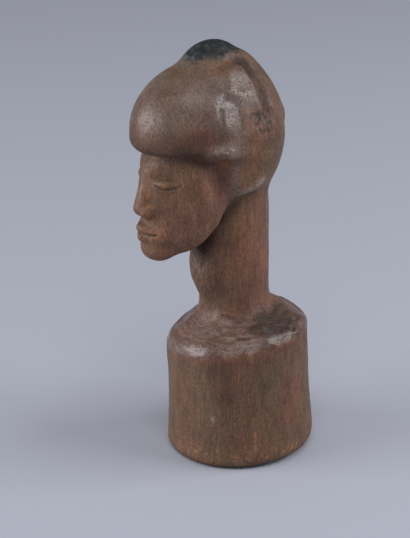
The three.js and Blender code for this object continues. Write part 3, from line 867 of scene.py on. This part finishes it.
def surface_colour(tree, colour):
    """What lies on the wood: a painted grey sheen where it is polished, dirt with painted shade, the
    crest's stain, painted grey reflections, and pale marks with painted highlights.
    """
    clean_and_unshaded = math_node(tree, "SUBTRACT", 1.0, mask(tree, "dirt_and_shade"))
    # Painted sheen: a cool grey laid on the polished wood's colour.
    handled = math_node(tree, "MULTIPLY", mask(tree, "polished"), clean_and_unshaded)
    colour = blend(tree, math_node(tree, "MULTIPLY", handled, 0.5), colour, PAINTED_SHEEN_GREY)
    layers = (("dirt_and_shade", DIRT_AND_SHADE_BROWN), ("stained", CREST_BLACK), ("painted_grey_sheen", SHEEN_GREY), ("pale_and_highlighted", PALE_AND_HIGHLIGHT_TINT))
    for name, tint in layers:
        colour = blend(tree, mask(tree, name), colour, tint)
    return colour


def wood_colour(tree):
    fibres = pattern(tree, (0.5, 0.5, 6), 3, 0.3, 0.7)
    blotches = pattern(tree, (3.2, 3.2, 7), 3, 0.3, 0.7)
    specks = pattern(tree, (0.5, 0.5, 0.8), 2, 0.35, 0.65)
    colour = mottled(tree, surface_colour(tree, timber_colour(tree, blotches)), blotches, *BLOTCH_SHADES)
    open_grain = math_node(tree, "SUBTRACT", 1.0, math_node(tree, "MULTIPLY", mask(tree, "polished"), 0.8))
    colour = blend(tree, open_grain, colour, mottled(tree, colour, fibres, *FIBRE_SHADES))
    colour = mottled(tree, colour, specks, *SPECK_SHADES)
    cut = mottled(tree, colour, stroke_pattern(tree), *STROKE_SHADES)
    colour = blend(tree, mask(tree, "cut_across"), colour, cut)
    depth = node(tree, "MapRange", Value=mask(tree, "polished"), To_Min=0.3, To_Max=0.65).outputs[0]
    return blend(tree, math_node(tree, "MULTIPLY", open_pits(tree), depth), colour, DIRT_AND_SHADE_BROWN)


DULLEST, GLOSSIEST = 0.62, 0.42
ROUGHER_WHERE = {"polished": -0.29, "worn_and_painted_light": 0.12, "dirt_and_shade": 0.15, "stained": 0.22}
ROUGHER_PITS = 0.4
WOOD_SPECULAR = 0.43
BUMP_DEPTH = 0.12 * MM


def wood_roughness(tree):
    dull = pattern(tree, (1.8, 1.8, 3.5), 3, 0.3, 0.7)
    rough = node(tree, "MapRange", Value=dull, To_Min=GLOSSIEST, To_Max=DULLEST).outputs[0]
    for name, change in ROUGHER_WHERE.items():
        rough = math_node(tree, "ADD", rough, math_node(tree, "MULTIPLY", mask(tree, name), change))
    return math_node(tree, "ADD", rough, math_node(tree, "MULTIPLY", open_pits(tree), ROUGHER_PITS))


def wood_bump(tree):
    """Relief too fine for the mesh: pores all over and the finest strokes on the shoulder."""
    pits = pattern(tree, (0.5, 0.5, 0.9), 3, 0.25, 0.75)
    pores = node(tree, "Bump", Height=pits, Strength=0.4, Distance=BUMP_DEPTH).outputs[0]
    lanes = math_node(tree, "MULTIPLY", stroke_pattern(tree), mask(tree, "cut_across"))
    return node(tree, "Bump", Height=lanes, Strength=0.6, Distance=BUMP_DEPTH, Normal=pores).outputs[0]


def wood():
    material = bpy.data.materials.new("wood")
    material.use_nodes = True
    tree = material.node_tree
    shader = tree.nodes["Principled BSDF"]
    tree.links.new(wood_colour(tree), shader.inputs["Base Color"])
    tree.links.new(wood_roughness(tree), shader.inputs["Roughness"])
    tree.links.new(wood_bump(tree), shader.inputs["Normal"])
    shader.inputs["Specular IOR Level"].default_value = WOOD_SPECULAR
    return material


def direction(azimuth, elevation):
    """From the middle outward; both in degrees, the azimuth from the front toward the figure's left."""
    azimuth, elevation = math.radians(azimuth), math.radians(elevation)
    level = math.cos(elevation)
    return Vector((math.sin(azimuth) * level, -math.cos(azimuth) * level, math.sin(elevation)))


def place(name, data, target, back, distance):
    """A camera or light at a distance from the target, looking at it."""
    thing = bpy.data.objects.new(name, data)
    thing.location = target + back * distance
    thing.rotation_mode = "QUATERNION"
    thing.rotation_quaternion = (-back).to_track_quat("-Z", "Y")
    bpy.context.collection.objects.link(thing)
    return thing


# The photograph's camera: 60 degrees round from the front and 22 degrees above level
CAMERA_ANGLES, CAMERA_TARGET, CAMERA_DISTANCE = (60, 22), Vector((0, -3, 58)) * MM, 0.56
SENSOR, FOCAL_PX, WIDTH_PX, HEIGHT_PX, TARGET_PX = 36, 1985.8, 410, 538, (232, 256)
LIGHTS_TARGET, LIGHTS_DISTANCE, LIGHTS_COLOUR = Vector((0, 0, 60)) * MM, 0.9, (0.97, 0.98, 1)
# Each light's angles, size in metres and power in watts
SOFTBOXES = {
    "left_softbox": ((-17, 13), (0.76, 0.42), 6.5),
    "right_softbox": ((145, 29), (0.7, 0.38), 5.5),
    "overhead": ((62, 58), (0.42, 0.42), 2.2),
}
WORLD_COLOUR, WORLD_STRENGTH = (0.62, 0.64, 0.69, 1), 0.47
PAPER, PAPER_SPECULAR = (0.438, 0.45, 0.512, 1), 0.1
FLOOR_WIDTH = 6


def add_camera():
    data = bpy.data.cameras.new("camera")
    data.sensor_width = SENSOR
    data.lens = FOCAL_PX * data.sensor_width / HEIGHT_PX
    data.shift_x = (WIDTH_PX / 2 - TARGET_PX[0]) / HEIGHT_PX
    data.shift_y = (TARGET_PX[1] - HEIGHT_PX / 2) / HEIGHT_PX
    camera = place("camera", data, CAMERA_TARGET, direction(*CAMERA_ANGLES), CAMERA_DISTANCE)
    bpy.context.scene.camera = camera


def add_softbox(name, angles, size, power):
    data = bpy.data.lights.new(name, "AREA")
    data.shape = "RECTANGLE"
    data.size, data.size_y = size
    data.energy = power
    data.color = LIGHTS_COLOUR
    place(name, data, LIGHTS_TARGET, direction(*angles), LIGHTS_DISTANCE)


def add_studio():
    world = bpy.data.worlds.new("studio")
    world.use_nodes = True
    world.node_tree.nodes["Background"].inputs["Color"].default_value = WORLD_COLOUR
    world.node_tree.nodes["Background"].inputs["Strength"].default_value = WORLD_STRENGTH
    bpy.context.scene.world = world
    for name, light in SOFTBOXES.items():
        add_softbox(name, *light)


def add_floor():
    bpy.ops.mesh.primitive_plane_add(size=FLOOR_WIDTH)
    floor = bpy.context.object
    floor.name = "floor"
    material = bpy.data.materials.new("paper")
    material.use_nodes = True
    shader = material.node_tree.nodes["Principled BSDF"]
    shader.inputs["Base Color"].default_value = PAPER
    shader.inputs["Roughness"].default_value = 1.0
    shader.inputs["Specular IOR Level"].default_value = PAPER_SPECULAR
    floor.data.materials.append(material)


add_camera()
add_floor()
add_studio()
bpy.context.scene.view_settings.view_transform = "Standard"

points, normals, quads = carved_points()
bust_piece = mesh_object("carved_bust_wood", points, quads)
bust_piece.data.materials.append(wood())
add_masks(bust_piece, points, normals)
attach(bust_piece, "root")
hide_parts("carved_bust")
